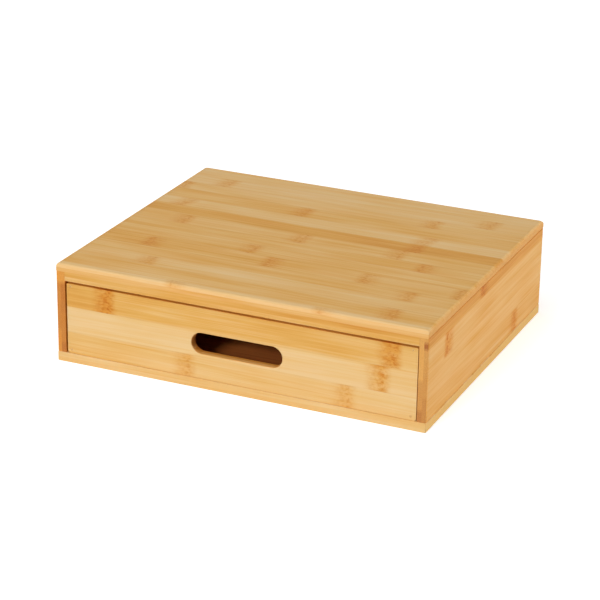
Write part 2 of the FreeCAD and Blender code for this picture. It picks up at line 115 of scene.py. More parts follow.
bambooLook = {
    "palest": "EECB92",       # inner wall of the stalk
    "pale": "EBC07B",
    "middle": "E4AE58",
    "deep": "D8983F",
    "palePlace": 0.33,        # on the ramp from palest at 0 to deep at 1
    "middlePlace": 0.66,
    "warmTint": "FFBC00",     # multiplied in by each board's warmth
    "jointStain": "F6DDA6",   # multiplied in where the stalk had its joint
    "jointSpeck": "EAC48C",
    "glueLine": "B4783A",
    "endLight": "ECC172",
    "endDark": "AC6C3A",

    # lengths and widths in mm; fibres are drawn as coarse as they need to show at arm's length
    "fibreLength": 55, "fibreWidth": 0.8, "fibreWeight": 0.62,
    "streakLength": 130, "streakWidth": 3.2, "streakWeight": 0.66,
    "cloudLength": 70, "cloudWidth": 16, "cloudWeight": 0.6,
    "fibreTilt": 0.015,       # the fibres of a strip run up to a degree off its edges
    "blendWidth": 1.8,        # over which one strip's tone passes into the next
    "blendShare": 0.5,        # of the neighbour's tone right at the glue line

    "stainLength": 17.0,      # that a joint's stain reaches to its softer side
    "stainSkew": 2.0,         # times as far as to the other side
    "mottleLength": 9.0, "mottleWidth": 5.0, "mottleFade": (0.3, 0.6), "mottleLeast": 0.45,
    "ridgeWidth": 2.0,
    "speckLength": 2.6, "speckWidth": 1.9, "speckFade": (0.38, 0.66),
    "ridgeSpecks": 0.35, "stainSpecks": 0.6,
    "wanderReach": 6.0, "wanderWidth": 8.0,
    "jointFade": (0.3, 0.8),  # no joints show from here on, as a face turns to the end grain

    "glueWidth": 0.6, "glueBreakLength": 22.0, "glueBreakWidth": 30.0, "glueFade": (0.3, 0.7),
    "poreDepth": 0.1, "poreFade": (0.3, 0.7),
    "endFade": (0.7, 0.98),   # and here the end grain takes over
    "endCover": 0.95,         # how much of the face's own colour it hides

    "patchiness": 0.2,        # how unevenly the wood has taken up the lacquer
    "patchLength": 60.0, "patchWidth": 9.0,
    "glossiest": 0.57, "dullest": 0.68, "glossFade": (0.2, 0.8),   # roughness, following the fibres
    "sheen": 0.3,             # a thin satin lacquer mirrors less than bare gloss
    "ior": 1.5, "bumpStrength": 0.25, "bumpDepth": 0.1,
}
noiseStep = {   # how far apart the strips lie in each noise, so that no two look the same
    "fibre": 97.0, "streak": 108.0, "cloud": 120.0, "mottle": 102.0, "speck": 114.0,
    "glueBreak": 138.0, "patch": 158.0, "wander": 53.0,
}


def laminatedBamboo(name, look):
    # caramelised bamboo strips glued side by side, sanded and sealed with a satin clear lacquer:
    # long fine fibres, a tone of its own for each strip, stained joints and a soft sheen
    material, tree = newMaterial(name)

    def maths(operation, first, second=0.0, third=0.0):
        return addNode(tree, "ShaderNodeMath", {0: first, 1: second, 2: third},
                       operation=operation).outputs[0]

    def ease(value, start, end, low=0.0, high=1.0):
        return addNode(tree, "ShaderNodeMapRange",
                       {"Value": value, "From Min": start, "From Max": end,
                        "To Min": low, "To Max": high},
                       interpolation_type="SMOOTHSTEP").outputs["Result"]

    def read(attribute):
        return addNode(tree, "ShaderNodeAttribute", attribute_name=attribute)

    def split(attribute):
        vector = read(attribute).outputs["Vector"]
        return addNode(tree, "ShaderNodeSeparateXYZ", {0: vector}).outputs

    def splitFour(attribute):
        colour = read(attribute)
        parts = addNode(tree, "ShaderNodeSeparateColor", {0: colour.outputs["Color"]}).outputs
        return [*parts, colour.outputs["Alpha"]]

    def mixColour(factor, first, second, blend="MIX"):
        return addNode(tree, "ShaderNodeMix", {"Factor": factor, 6: first, 7: second},
                       data_type="RGBA", blend_type=blend).outputs[2]

    along, across, depth = split("grainPlace")
    low, high, seed = split("stripSpan")
    tone, lean, slant = split("stripLook")
    endOn, sideOn = split("grainFacing")[:2]
    warmth, endDepth, seamDepth = split("boardFinish")
    jointPlaces = splitFour("stripNodes")
    jointMark = read("jointMark").outputs["Fac"]   # below nothing, the stain lies the other way
    toneBelow, toneAbove, endBelow, endAbove = splitFour("stripSides")

    tilt = maths("MULTIPLY_ADD", seed, 2 * look["fibreTilt"], -look["fibreTilt"])
    fibreAcross = maths("MULTIPLY_ADD", along, tilt, across)

    def grainNoise(kind, detail=2.0, side=fibreAcross):
        # noise drawn out along the grain
        width = look[kind + "Width"]
        lengthwise = maths("DIVIDE", along, look[kind + "Length"])
        place = addNode(tree, "ShaderNodeCombineXYZ", {
            0: maths("MULTIPLY_ADD", seed, noiseStep[kind], lengthwise),
            1: maths("DIVIDE", side, width),
            2: maths("DIVIDE", depth, width)}).outputs[0]
        return addNode(tree, "ShaderNodeTexNoise",
                       {"Vector": place, "Scale": 1.0, "Detail": detail}).outputs[0]

    fibre = grainNoise("fibre")
    streak = grainNoise("streak")
    cloud = grainNoise("cloud", detail=1.0)

    # near a glue line the neighbour's tone shows too
    fromLow, fromHigh = maths("SUBTRACT", across, low), maths("SUBTRACT", high, across)
    nearLow = ease(fromLow, look["blendWidth"], 0.0, 0.0, look["blendShare"])
    nearHigh = ease(fromHigh, look["blendWidth"], 0.0, 0.0, look["blendShare"])

    def blendSides(own, below, above):
        part = maths("MULTIPLY_ADD", maths("SUBTRACT", below, own), nearLow, own)
        return maths("MULTIPLY_ADD", maths("SUBTRACT", above, own), nearHigh, part)

    shade = maths("MULTIPLY_ADD", along, maths("DIVIDE", lean, 100.0),   # lean is given over 100 mm
                  blendSides(tone, toneBelow, toneAbove))
    for noise, kind in ((fibre, "fibre"), (streak, "streak"), (cloud, "cloud")):
        shade = maths("MULTIPLY_ADD", maths("SUBTRACT", noise, 0.5), look[kind + "Weight"], shade)
    ramp = addNode(tree, "ShaderNodeValToRGB", {0: shade})
    ramp.color_ramp.elements[0].color = fromHex(look["palest"])
    ramp.color_ramp.elements[1].color = fromHex(look["deep"])
    for kind in ("pale", "middle"):
        ramp.color_ramp.elements.new(look[kind + "Place"]).color = fromHex(look[kind])
    colour = ramp.outputs["Color"]

    # signed distance to the nearest joint of the stalk, which wanders and slants across the strip
    wander = addNode(tree, "ShaderNodeTexNoise", {
        "Vector": addNode(tree, "ShaderNodeCombineXYZ", {
            0: maths("MULTIPLY", seed, noiseStep["wander"]),
            1: maths("DIVIDE", across, look["wanderWidth"]),
            2: maths("DIVIDE", depth, look["wanderWidth"])}).outputs[0],
        "Scale": 1.0, "Detail": 2.0}).outputs[0]
    middle = maths("MULTIPLY", maths("ADD", low, high), 0.5)
    slanted = maths("SUBTRACT", along, maths("MULTIPLY", maths("SUBTRACT", across, middle), slant))
    bent = maths("MULTIPLY_ADD", maths("SUBTRACT", wander, 0.5), look["wanderReach"], slanted)
    nearest = maths("SUBTRACT", bent, jointPlaces[0])
    for place in jointPlaces[1:]:
        other = maths("SUBTRACT", bent, place)
        closer = maths("LESS_THAN", maths("ABSOLUTE", other), maths("ABSOLUTE", nearest))
        nearest = addNode(tree, "ShaderNodeMix", {"Factor": closer, 2: nearest, 3: other},
                          data_type="FLOAT").outputs[0]

    # a joint: a stain that ends sooner on one side, mottled, and dark specks thickest on its ridge
    nearest = maths("MULTIPLY", nearest, maths("SIGN", jointMark))
    skewed = maths("MAXIMUM", nearest, maths("MULTIPLY", nearest, -look["stainSkew"]))
    stain = ease(skewed, look["stainLength"], 0.0)
    ridge = ease(maths("ABSOLUTE", nearest), look["ridgeWidth"], 0.0)
    onFace = maths("MULTIPLY", maths("SUBTRACT", 1.0, ease(endOn, *look["jointFade"])),
                   maths("ABSOLUTE", jointMark))
    mottle = ease(grainNoise("mottle", side=across), *look["mottleFade"], look["mottleLeast"], 1.0)
    stained = maths("MULTIPLY", maths("MULTIPLY", stain, mottle), onFace)
    colour = mixColour(stained, colour, fromHex(look["jointStain"]), "MULTIPLY")
    specks = ease(grainNoise("speck", side=across), *look["speckFade"])
    speckShare = maths("MULTIPLY_ADD", ridge, look["ridgeSpecks"],
                       maths("MULTIPLY", stain, look["stainSpecks"]))
    speckled = maths("MULTIPLY", maths("MULTIPLY", speckShare, specks), onFace)
    colour = mixColour(speckled, colour, fromHex(look["jointSpeck"]), "MULTIPLY")

    # glue lines between the strips on the faces, and between the plies on the edges; where a board
    # meets another, the line is glue and painted shade of the joint as well
    edgeDistance = maths("MINIMUM", fromLow, fromHigh)
    broken = ease(grainNoise("glueBreak", detail=1.0), *look["glueFade"])
    seam = maths("MULTIPLY", ease(edgeDistance, look["glueWidth"], 0.0),
                 maths("SUBTRACT", 1.0, sideOn))
    seam = maths("MULTIPLY", maths("MULTIPLY", seam, broken), seamDepth)
    colour = mixColour(seam, colour, fromHex(look["glueLine"]))

    # cut fibre ends soak up more lacquer
    pores = ease(fibre, *look["poreFade"], -look["poreDepth"], look["poreDepth"])
    soaked = maths("ADD", blendSides(endDepth, endBelow, endAbove), pores)
    endShade = mixColour(soaked, fromHex(look["endLight"]), fromHex(look["endDark"]))
    colour = mixColour(ease(endOn, *look["endFade"], 0.0, look["endCover"]), colour, endShade)

    # the lacquer is warmer on some boards, and taken up unevenly
    uneven = maths("SUBTRACT", grainNoise("patch", detail=1.0), 0.5)
    warmer = maths("MULTIPLY_ADD", uneven, look["patchiness"], warmth)
    colour = mixColour(warmer, colour, fromHex(look["warmTint"]), "MULTIPLY")

    bump = addNode(tree, "ShaderNodeBump", {
        "Height": fibre, "Strength": look["bumpStrength"], "Distance": look["bumpDepth"] * mm})
    shader = addNode(tree, "ShaderNodeBsdfPrincipled", {
        "Base Color": colour,
        "Roughness": ease(fibre, *look["glossFade"], look["glossiest"], look["dullest"]),
        "Normal": bump.outputs["Normal"],
        "IOR": look["ior"],
        "Specular IOR Level": look["sheen"]})
    addNode(tree, "ShaderNodeOutputMaterial", {"Surface": shader.outputs["BSDF"]})
    return material


bamboo = laminatedBamboo("lacquered laminated bamboo", bambooLook)

# thin carbonised bamboo ply, sanded and left without lacquer: broad soft figure, redder and duller;
# its dark red-brown also paints the shade inside the drawer
plyLook = dict(bambooLook, palest="C87C40", pale="B86C32", middle="A65C28", deep="8C481E",
               endLight="B0723C", endDark="844A20", fibreWidth=0.9, streakWidth=4.5, cloudWidth=24,
               glossiest=0.63, dullest=0.74, sheen=0.2)
thinPly = laminatedBamboo("sanded thin bamboo ply", plyLook)

beechLook = {"light": "D9B48A", "dark": "BE8F62", "fleckWidth": 0.4, "fleckLength": 3.0,
             "roughness": 0.7, "bumpStrength": 0.3, "bumpDepth": 0.05}


def beechRod(name, look):
    # fluted beech rod, left raw inside its holes: pale tan with short darker flecks
    material, tree = newMaterial(name)
    place = addNode(tree, "ShaderNodeTexCoord").outputs["Object"]
    scaled = addNode(tree, "ShaderNodeMapping", {
        "Vector": place,
        "Scale": (1 / (look["fleckWidth"] * mm), 1 / (look["fleckWidth"] * mm),
                  1 / (look["fleckLength"] * mm))})
    flecks = addNode(tree, "ShaderNodeTexNoise",
                     {"Vector": scaled.outputs[0], "Scale": 1.0, "Detail": 2.0}).outputs[0]
    ramp = addNode(tree, "ShaderNodeValToRGB", {0: flecks})
    ramp.color_ramp.elements[0].color = fromHex(look["dark"])
    ramp.color_ramp.elements[1].color = fromHex(look["light"])
    bump = addNode(tree, "ShaderNodeBump", {
        "Height": flecks, "Strength": look["bumpStrength"], "Distance": look["bumpDepth"] * mm})
    shader = addNode(tree, "ShaderNodeBsdfPrincipled", {
        "Base Color": ramp.outputs["Color"], "Roughness": look["roughness"],
        "Normal": bump.outputs["Normal"]})
    addNode(tree, "ShaderNodeOutputMaterial", {"Surface": shader.outputs["BSDF"]})
    return material


bradLook = {
    "steel": "B07C40",
    "lacquered": "E8B874",
    "aside": 142.5,                         # mm from the caddy's middle to a brad
    "centre": 37.7,                         # mm, height of the drawer's middle
    "apart": 26.4,                          # mm from there up or down to a brad
    "wireRadius": 0.1, "rimRadius": 0.55,   # mm, where the pooled lacquer starts and ends
    "rimWander": 0.3,
    "grainScale": 1500.0,                   # per metre, which makes grains of 0.7 mm
    "metal": 0.15,
    "roughness": 0.5,
}


def drawnBrad(name, look):
    # drawn steel brads sunk in and lacquered over with the boards: the lacquer pools round a dark
    # middle, so only a small brown dot shows
    material, tree = newMaterial(name)
    place = addNode(tree, "ShaderNodeTexCoord").outputs["Object"]
    x, y, z = addNode(tree, "ShaderNodeSeparateXYZ", {0: place}).outputs

    def maths(operation, first, second=0.0):
        return addNode(tree, "ShaderNodeMath", {0: first, 1: second},
                       operation=operation).outputs[0]

    fromX = maths("SUBTRACT", maths("ABSOLUTE", x), look["aside"] * mm)
    fromZ = maths("SUBTRACT", maths("ABSOLUTE", maths("SUBTRACT", z, look["centre"] * mm)),
                  look["apart"] * mm)
    reach = addNode(tree, "ShaderNodeVectorMath", {
        0: addNode(tree, "ShaderNodeCombineXYZ", {0: fromX, 2: fromZ}).outputs[0]},
        operation="LENGTH").outputs["Value"]
    grain = addNode(tree, "ShaderNodeTexNoise", {
        "Vector": place, "Scale": look["grainScale"], "Detail": 2.0}).outputs[0]
    reach = maths("ADD", reach,
                  maths("MULTIPLY", maths("SUBTRACT", grain, 0.5), look["rimWander"] * mm))
    pooled = addNode(tree, "ShaderNodeMapRange", {
        "Value": reach, "From Min": look["wireRadius"] * mm, "From Max": look["rimRadius"] * mm},
        interpolation_type="SMOOTHSTEP").outputs["Result"]
    colour = addNode(tree, "ShaderNodeMix", {
        "Factor": pooled, 6: fromHex(look["steel"]), 7: fromHex(look["lacquered"])},
        data_type="RGBA").outputs[2]
    metal = maths("MULTIPLY", maths("SUBTRACT", 1.0, pooled), look["metal"])
    shader = addNode(tree, "ShaderNodeBsdfPrincipled", {
        "Base Color": colour, "Metallic": metal, "Roughness": look["roughness"]})
    addNode(tree, "ShaderNodeOutputMaterial", {"Surface": shader.outputs["BSDF"]})
    return material


def dressNode(node, material):
    # a CAD solid that keeps its shape gets its finish
    mesh = frame["nodes"][node].data
    mesh.materials.clear()
    mesh.materials.append(material)


beech = beechRod("raw beech rod", beechLook)
steel = drawnBrad("lacquered drawn steel", bradLook)
for node in ("top_dowels", "bottom_dowels", "back_dowels", "rail_dowels"):
    dressNode(node, beech)
for node in ("drawer_front_brads", "drawer_back_brads"):
    dressNode(node, steel)
print("materials made")


axisOf = {"x": 0, "y": 1, "z": 2}
noJoint = 9999.0      # mm, a place that no strip reaches
insideShadeWarmth = 0.18   # how much yellower the faces inside the caddy are drawn: painted shade for the gaps they are seen through
slotShadeWarmth = 0.12      # and in the sawn walls of the finger slot, drawn yellower as painted shade of the slot, where they cut along the fibres
slotEndShadeWarmth = 0.48   # what they add where they cut across them, as more painted shade on the slot's end walls
turned = 0.7          # a face is turned to an axis from here on, as the cosine of the angle
onPlane = 1e-6        # metres; a point nearer than this lies on a plane
sawReach = 1e-7       # metres; a point nearer than this isn't cut off
sideShuffle = 7.31


def strip(width, tone, joints=(), lean=0.0, slant=0.0, ends=None, mark=None):
    # one bamboo strip: its width in mm, how deep its tone is, where its stalk's joints lie along
    # it, how much deeper it gets over 100 mm, how far the joints slant, how dark its cut ends are
    # (over 1 hides the pores) and how strongly the joints show (below nothing, they stain the
    # other way)
    places = [float(place) for place in joints] + [noJoint] * (4 - len(joints))
    return {"width": width, "tone": tone, "joints": places, "lean": lean, "slant": slant,
            "ends": ends, "mark": mark}


plainStrip = {   # strips as they come, for the faces with no strips of their own
    "pitch": 19.5, "spread": (0.94, 1.06), "tone": (0.15, 0.75), "lean": (-0.08, 0.08),
    "slant": (-0.15, 0.15), "firstJoint": (-170, -20), "betweenJoints": (150, 230),
}


def plainStrips(seed, span):
    draw = random.Random(seed)
    strips = []
    while span > 0:
        width = min(span, plainStrip["pitch"] * draw.uniform(*plainStrip["spread"]))
        first = draw.uniform(*plainStrip["firstJoint"])
        strips.append(strip(width, draw.uniform(*plainStrip["tone"]),
                            (first, first + draw.uniform(*plainStrip["betweenJoints"])),
                            draw.uniform(*plainStrip["lean"]), draw.uniform(*plainStrip["slant"])))
        span -= width
    return strips


def stripEdges(strips, low, high):
    # where each strip starts and ends across the board, in mm; the last one is trimmed to fit
    edges = []
    start = low
    for piece in strips[:-1]:
        edges.append((start, start + piece["width"]))
        start = edges[-1][1]
    return edges + [(start, high)]


def sawAt(bm, axis, place):
    point, normal = Vector((0, 0, 0)), Vector((0, 0, 0))
    point[axis], normal[axis] = place, 1
    bmesh.ops.bisect_plane(bm, geom=bm.verts[:] + bm.edges[:] + bm.faces[:], dist=sawReach,
                           plane_co=point, plane_no=normal)


def faceWarmth(board, ply, facing, inSlot):
    # how much yellow a face gets: the lacquer's own, plus painted shade on the faces seen through
    # the gaps and in the finger slot; facing is how far it is turned along the grain, across it and
    # through the board
    warmth = board["warmth"]
    # inner faces: painted shade, since they are seen only through the gaps round the drawer
    if ply == "hidden" and facing[2] > turned:
        warmth += board.get("insideShadeWarmth", insideShadeWarmth)
    if facing[0] > turned:
        warmth += board.get("endWarmth", 0)
    # edgeWarmth is the lacquer's yellow on a board's edges; on the drawer front it is painted shade
    # of the gaps
    if facing[1] > turned:
        warmth += board.get("edgeWarmth", 0)
    # slot walls: painted shade of the slot, deepest on its end walls
    if inSlot and facing[2] < turned:
        warmth += slotShadeWarmth + slotEndShadeWarmth * facing[0]
    return warmth


def layStrips(bm, board, low, high, slotReach=None):
    # saws the board along its glue lines and marks each face with the strip it lies in
    for vert in bm.verts:   # a bevel over a mitre can stand a few hundredths proud
        vert.co = [min(max(value, least), most) for value, least, most in zip(vert.co, low, high)]
    along, across, depth = (axisOf[letter] for letter in board["grain"])
    middle = (low[depth] + high[depth]) / 2
    plies, edges = {}, {}
    for ply, own in (("shown", "strips"), ("hidden", "backStrips")):
        plies[ply] = board.get(own) or plainStrips("%s %s" % (board["node"], ply),
                                                   (high[across] - low[across]) / mm)
        edges[ply] = stripEdges(plies[ply], low[across] / mm, high[across] / mm)
    sawAt(bm, depth, middle)
    for rows in edges.values():
        for start, end in rows[:-1]:
            sawAt(bm, across, end * mm)

    grainPlace = bm.verts.layers.float_vector.new("grainPlace")
    for vert in bm.verts:
        vert[grainPlace] = Vector((vert.co[along], vert.co[across], vert.co[depth])) / mm
    stripSpan = bm.faces.layers.float_vector.new("stripSpan")
    stripLook = bm.faces.layers.float_vector.new("stripLook")
    grainFacing = bm.faces.layers.float_vector.new("grainFacing")
    boardFinish = bm.faces.layers.float_vector.new("boardFinish")
    jointMark = bm.faces.layers.float.new("jointMark")
    stripNodes = bm.faces.layers.float_color.new("stripNodes")
    stripSides = bm.faces.layers.float_color.new("stripSides")
    shownHigh = board.get("shown", "high") == "high"
    bm.normal_update()
    for face in bm.faces:
        centre = face.calc_center_median()
        facing = [abs(face.normal[axis]) for axis in (along, across, depth)]
        ply = "shown" if (centre[depth] > middle) == shownHigh else "hidden"
        strips, rows = plies[ply], edges[ply]
        last = len(rows) - 1
        index = 0
        while index < last and centre[across] / mm > rows[index][1]:
            index += 1
        piece = strips[index]
        seed = random.Random("%s %s %d" % (board["node"], ply, index)).random()

        # a glue line shows where the board is glued to another, and there it also paints the
        # joint's shade, but not along its free edges
        start = rows[index][0] if index > 0 or board.get("glueAndShadeLow") else -noJoint
        end = rows[index][1] if index < last or board.get("glueAndShadeHigh") else noJoint
        face[stripSpan] = (start, end, seed)
        # gapShadeTone deepens faces turned across the strips, as painted shade for edges seen
        # through gaps
        tone = piece["tone"] + (board.get("gapShadeTone", 0) if facing[1] > turned else 0)
        face[stripLook] = (tone, piece["lean"], piece["slant"])
        face[stripNodes] = piece["joints"]
        side = 1 if seed * sideShuffle % 1 > 0.5 else -1   # the side that a joint stains
        face[jointMark] = side * board.get("joints", 1) if piece["mark"] is None else piece["mark"]
        around = [strips[max(index - 1, 0)], piece, strips[min(index + 1, last)]]
        below, ends, above = (board["endDepth"] if one["ends"] is None else one["ends"]
                              for one in around)
        face[stripSides] = (around[0]["tone"], around[2]["tone"], below, above)
        inSlot = slotReach and all(abs(centre[axis] - place) < reach
                                   for axis, place, reach in slotReach)
        seam = board.get("faceSeam", board["seam"]) if facing[2] > turned else board["seam"]
        face[boardFinish] = (faceWarmth(board, ply, facing, inSlot), ends, seam)
        face[grainFacing] = facing


def bevelEdges(bm, edges, radius, segments):
    bmesh.ops.bevel(bm, geom=edges, offset=radius * mm, affect="EDGES", segments=segments,
                    profile=0.5, material=-1)


def edgesOn(bm, low, high, *sides):
    # the edges that lie on every named side of the box
    planes = {"left": (0, low), "right": (0, high), "front": (1, low), "back": (1, high),
              "foot": (2, low), "head": (2, high)}
    named = [(planes[side][0], planes[side][1][planes[side][0]]) for side in sides]
    return [edge for edge in bm.edges
            if all(abs(vert.co[axis] - place) < onPlane for vert in edge.verts
                   for axis, place in named)]


def cornerEdges(bm, low, high, *sides):
    # the upright edges at the named sides, with the mitre that a rounded top edge leaves above them
    centre = (low + high) / 2
    half = (high - low) / 2
    found = []
    for edge in bm.edges:
        offsets = [vert.co - centre for vert in edge.verts]
        onMitre = all(abs((half.x - abs(o.x)) - (half.y - abs(o.y))) < onPlane for o in offsets)
        onSide = any(all((o.x > 0) == (side == "right") for o in offsets) for side in sides)
        if onMitre and onSide:
            found.append(edge)
    return found


def fittedBox(board):
    # the node's corners, with the part of a millimetre that the board is fitted to its place by
    low, high = (Vector(corner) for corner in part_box(board["node"]))
    low.z -= board.get("footDrop", 0) * mm
    high.z -= board.get("headDrop", 0) * mm
    low.x -= board.get("leftOut", 0) * mm
    high.x += board.get("rightOut", 0) * mm
    return low, high


def startBoard(board):
    low, high = fittedBox(board)
    bm = bmesh.new()
    bmesh.ops.create_cube(bm, size=1, matrix=Matrix.Translation((low + high) / 2)
                          @ Matrix.Diagonal((*(high - low), 1)))
    return bm, low, high


sharpAngle = 35   # degrees; flatter edges than this are shaded smooth


def finishPiece(bm, board, material=bamboo):
    bmesh.ops.recalc_face_normals(bm, faces=bm.faces[:])
    mesh = bpy.data.meshes.new(board["name"])
    bm.to_mesh(mesh)
    bm.free()
    mesh.materials.append(material)
    mesh.shade_smooth()
    mesh.set_sharp_from_angle(angle=math.radians(sharpAngle))
    piece = bpy.data.objects.new(board["name"], mesh)
    bpy.context.scene.collection.objects.link(piece)
    weighted = piece.modifiers.new("even shading", "WEIGHTED_NORMAL")
    weighted.keep_sharp = True
    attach(piece, bodyOf[board["node"]])
    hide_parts(board["node"])


# In each board: grain names the axes along the fibres, across the strips and through the board, and
# shown is the side of it that strips lie on, backStrips on the other. Each rounding is a radius in
# mm and its segments. warmth is how yellow the lacquer is, and endWarmth, edgeWarmth and
# insideShadeWarmth what the ends, edges and inner faces add to it, on the inner faces and the
# drawer front's edges as painted shade of the gaps. gapShadeTone deepens the edges as painted shade
# in the gaps, endDepth the end grain, joints is how strongly the stalks' joints show, seam and
# faceSeam the glue lines, which also paint the shade of the joints between boards.
firstStrip, otherStrips = 20, 242   # mm of the case's depth, for the faces that lie on other boards

topBoard = {
    "name": "topBoard", "node": "top_board", "grain": "xyz",
    "roundOver": (3.0, 6), "cornerRound": (1.2, 3),
    "warmth": 0.07, "edgeWarmth": 0.12, "endWarmth": 0.29,
    "endDepth": 0.2, "seam": 0.25, "joints": 0.68,
    "strips": [   # from the front edge to the back
        # the narrow front strip runs over the rounded front edge; its pale tone is partly the
        # strip's own and partly paints the highlight on that edge
        strip(7, 0.1, (-55, 67), mark=0.5),
        strip(22, 0.52, (120,)),
        strip(17, 0.31, (-91,)),
        strip(19, 0.48, (118,)),
        strip(21, 0.53, (-112, -8, 73, 150), lean=-0.06),
        strip(20, 0.5, (-30,)),
        strip(18, 0.53, (104,)),
        strip(20, 0.42, (-109, -5, 78)),
        strip(18, 0.78, (87,), lean=0.05),
        strip(19, 0.22, (-127, 88), slant=0.25),
        strip(21, 0.52, (-27,)),
        strip(18, 0.3, (-148, 79)),
        strip(19.5, 0.24, (-115, 122), slant=0.2),
        strip(22.5, 0.24, (-111, 127), slant=0.2),
    ],
    "backStrips": [strip(firstStrip, 0.42)] + plainStrips("top board underside", otherStrips),
}


def makeTopBoard(board):
    bm, low, high = startBoard(board)
    bevelEdges(bm, edgesOn(bm, low, high, "head"), *board["roundOver"])
    bevelEdges(bm, cornerEdges(bm, low, high, "left", "right"), *board["cornerRound"])
    layStrips(bm, board, low, high)
    finishPiece(bm, board)


makeTopBoard(topBoard)


bottomBoard = {
    "name": "bottomBoard", "node": "bottom_board", "grain": "xyz", "shown": "low",
    "cornerRound": (1.2, 3), "baseRound": (0.8, 3), "headRound": (0.05, 2),
    "warmth": 0.05, "insideShadeWarmth": 0.0, "endDepth": 0.02, "seam": 0.3,
    "strips": [strip(firstStrip, 0.3)] + plainStrips("bottom board underside", otherStrips),
    "backStrips": [strip(firstStrip, 0.28)] + plainStrips("bottom board inside", otherStrips),
}


def makeBottomBoard(board):
    bm, low, high = startBoard(board)
    bevelEdges(bm, cornerEdges(bm, low, high, "left", "right"), *board["cornerRound"])
    bevelEdges(bm, edgesOn(bm, low, high, "foot"), *board["baseRound"])
    bevelEdges(bm, edgesOn(bm, low, high, "head"), *board["headRound"])
    layStrips(bm, board, low, high)
    finishPiece(bm, board)


makeBottomBoard(bottomBoard)


sidePanels = {
    "right": {
        "name": "rightSidePanel", "node": "right_side_panel", "grain": "yzx", "shown": "high",
        "glueAndShadeLow": True, "glueAndShadeHigh": True, "rightOut": 0.3,
        "cornerRound": (1.2, 3), "innerEdge": (0.15, 2),
        # the panel's inner face is drawn yellower as painted shade of the gap beside the drawer
        "warmth": 0.23, "endWarmth": 0.11, "insideShadeWarmth": 0.4,
        "endDepth": 0.6, "seam": 0.4, "faceSeam": 0.1,
        "strips": [   # from the bottom board up
            strip(19, 0.55, (67,), ends=0.6),
            strip(20, 0.42, ends=0.45),
            strip(19.7, 0.45, (-92,), ends=0.4, mark=1.3),
            strip(4.7, 0.82, (-15,), ends=1.1),
            strip(4.1, 0.9, (-15,), ends=0.3),
        ],
        "backStrips": [strip(9, 0.4, ends=0.75), strip(24, 0.5, ends=0.45),
                       strip(25.5, 0.3, ends=0.2), strip(9, 0.4, ends=0.25)],
    },
    "left": {
        "name": "leftSidePanel", "node": "left_side_panel", "grain": "yzx", "shown": "low",
        "glueAndShadeLow": True, "glueAndShadeHigh": True, "leftOut": 0.3,
        "cornerRound": (1.2, 3), "innerEdge": (0.15, 2),
        # the panel's inner face is drawn yellower as painted shade of the gap beside the drawer
        "warmth": 0.22, "endWarmth": 0.4, "insideShadeWarmth": 0.55,
        "endDepth": 0.6, "seam": 0.3,
        "strips": [
            strip(19, 0.5, (-70, 104), ends=0.35),
            strip(20, 0.3, (31,), ends=0.55),
            strip(19, 0.45, (-118, 95), ends=0.5),
            strip(9.5, 0.6, (-40,), ends=0.15),
        ],
        "backStrips": [strip(8, 0.4, ends=0.75), strip(26, 0.5, ends=0.55),
                       strip(24, 0.6, ends=0.65), strip(9.5, 0.4, ends=0.2)],
    },
}


def makeSidePanel(board, outer, inner):
    bm, low, high = startBoard(board)
    bevelEdges(bm, cornerEdges(bm, low, high, outer), *board["cornerRound"])
    bevelEdges(bm, edgesOn(bm, low, high, inner, "front"), *board["innerEdge"])
    layStrips(bm, board, low, high)
    finishPiece(bm, board)


makeSidePanel(sidePanels["right"], "right", "left")
makeSidePanel(sidePanels["left"], "left", "right")


backPanel = {
    "name": "backPanel", "node": "back_panel", "grain": "xzy", "shown": "high",
    "glueAndShadeLow": True, "glueAndShadeHigh": True, "warmth": 0.06, "endDepth": 0.5, "seam": 0.4,
}
frontRail = {
    "name": "frontRail", "node": "front_rail", "grain": "xyz", "shown": "high",
    "footDrop": 0.3, "lowerEdge": (0.1, 2), "warmth": 0.1, "endDepth": 0.5, "seam": 0.3,
    "strips": [strip(22, 0.68)], "backStrips": [strip(22, 0.6)],
}


def makeCrossPiece(board):
    bm, low, high = startBoard(board)
    if "lowerEdge" in board:
        bevelEdges(bm, edgesOn(bm, low, high, "front", "foot"), *board["lowerEdge"])
    layStrips(bm, board, low, high)
    finishPiece(bm, board)


makeCrossPiece(backPanel)
makeCrossPiece(frontRail)
print("case boards made")


ringSteps = 12    # points in each quarter of a ring
flatAngle = 0.5   # degrees; faces that meet flatter than this become one


def addRing(bm, low, high, radii, y):
    # a closed outline in the plane y: a rectangle from low to high with each corner rounded
    turn = Matrix.Rotation(math.pi / (4 * ringSteps), 4, "Z")
    stand = Matrix.Rotation(math.pi / 2, 4, "X")
    made = bmesh.ops.create_circle(bm, segments=4 * ringSteps, radius=1, matrix=stand @ turn)
    verts = made["verts"]
    for vert in verts:
        right, head = vert.co.x > 0, vert.co.z > 0
        radius = radii[("head" if head else "foot") + ("Right" if right else "Left")]
        corner = Vector(((high[0] - radius) if right else (low[0] + radius), y,
                         (high[1] - radius) if head else (low[1] + radius)))
        vert.co = corner + Vector((vert.co.x, 0, vert.co.z)) * radius
    return [edge for edge in bm.edges if edge.verts[0] in verts and edge.verts[1] in verts]


def addWall(bm, low, high, radii, stations):
    # rings joined into a wall; each station is a depth y and how far the ring is let out there
    first = last = None
    for y, out in stations:
        ring = addRing(bm, (low[0] - out, low[1] - out), (high[0] + out, high[1] + out),
                       {corner: radius + out for corner, radius in radii.items()}, y)
        if last:
            bmesh.ops.bridge_loops(bm, edges=last + ring)
        first, last = first or ring, ring
    return first, last


